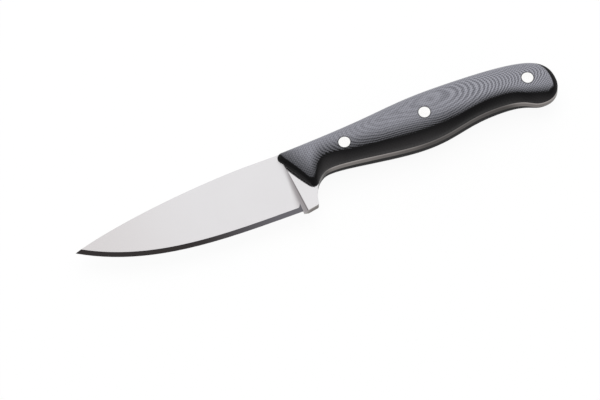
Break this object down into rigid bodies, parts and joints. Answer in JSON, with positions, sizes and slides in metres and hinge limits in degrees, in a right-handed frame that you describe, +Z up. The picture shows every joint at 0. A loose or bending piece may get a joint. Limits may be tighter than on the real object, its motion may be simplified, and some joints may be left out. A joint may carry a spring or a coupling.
{
  "type": "paring knife",
  "caption": "Full-tang kitchen paring knife: flat-ground steel blade with plunge and guard, contoured pinned laminate scales with a finger groove.",
  "frame": {"origin": "centre of the bounding box in plan, at the lowest point of the right scale, on which the knife lies", "axes": "+X from the point of the blade to the butt, +Y from the cutting edge to the spine, +Z up through the left face"},
  "size_m": [0.2076, 0.0312, 0.0164],
  "materials": {
    "blade_steel": "fine satin, ground along the bevels",
    "laminate": "dark grey linen laminate, sanded and buffed so that its layers show as contour lines",
    "adhesive": "cured black adhesive",
    "pin_steel": "polished flush with the scales"
  },
  "bodies": {
    "root": {"blade": "blade_steel", "left_scale": "laminate", "right_scale": "laminate", "left_bond": "adhesive", "right_bond": "adhesive", "front_pin": "pin_steel", "middle_pin": "pin_steel", "rear_pin": "pin_steel"}
  },
  "joints": []
}
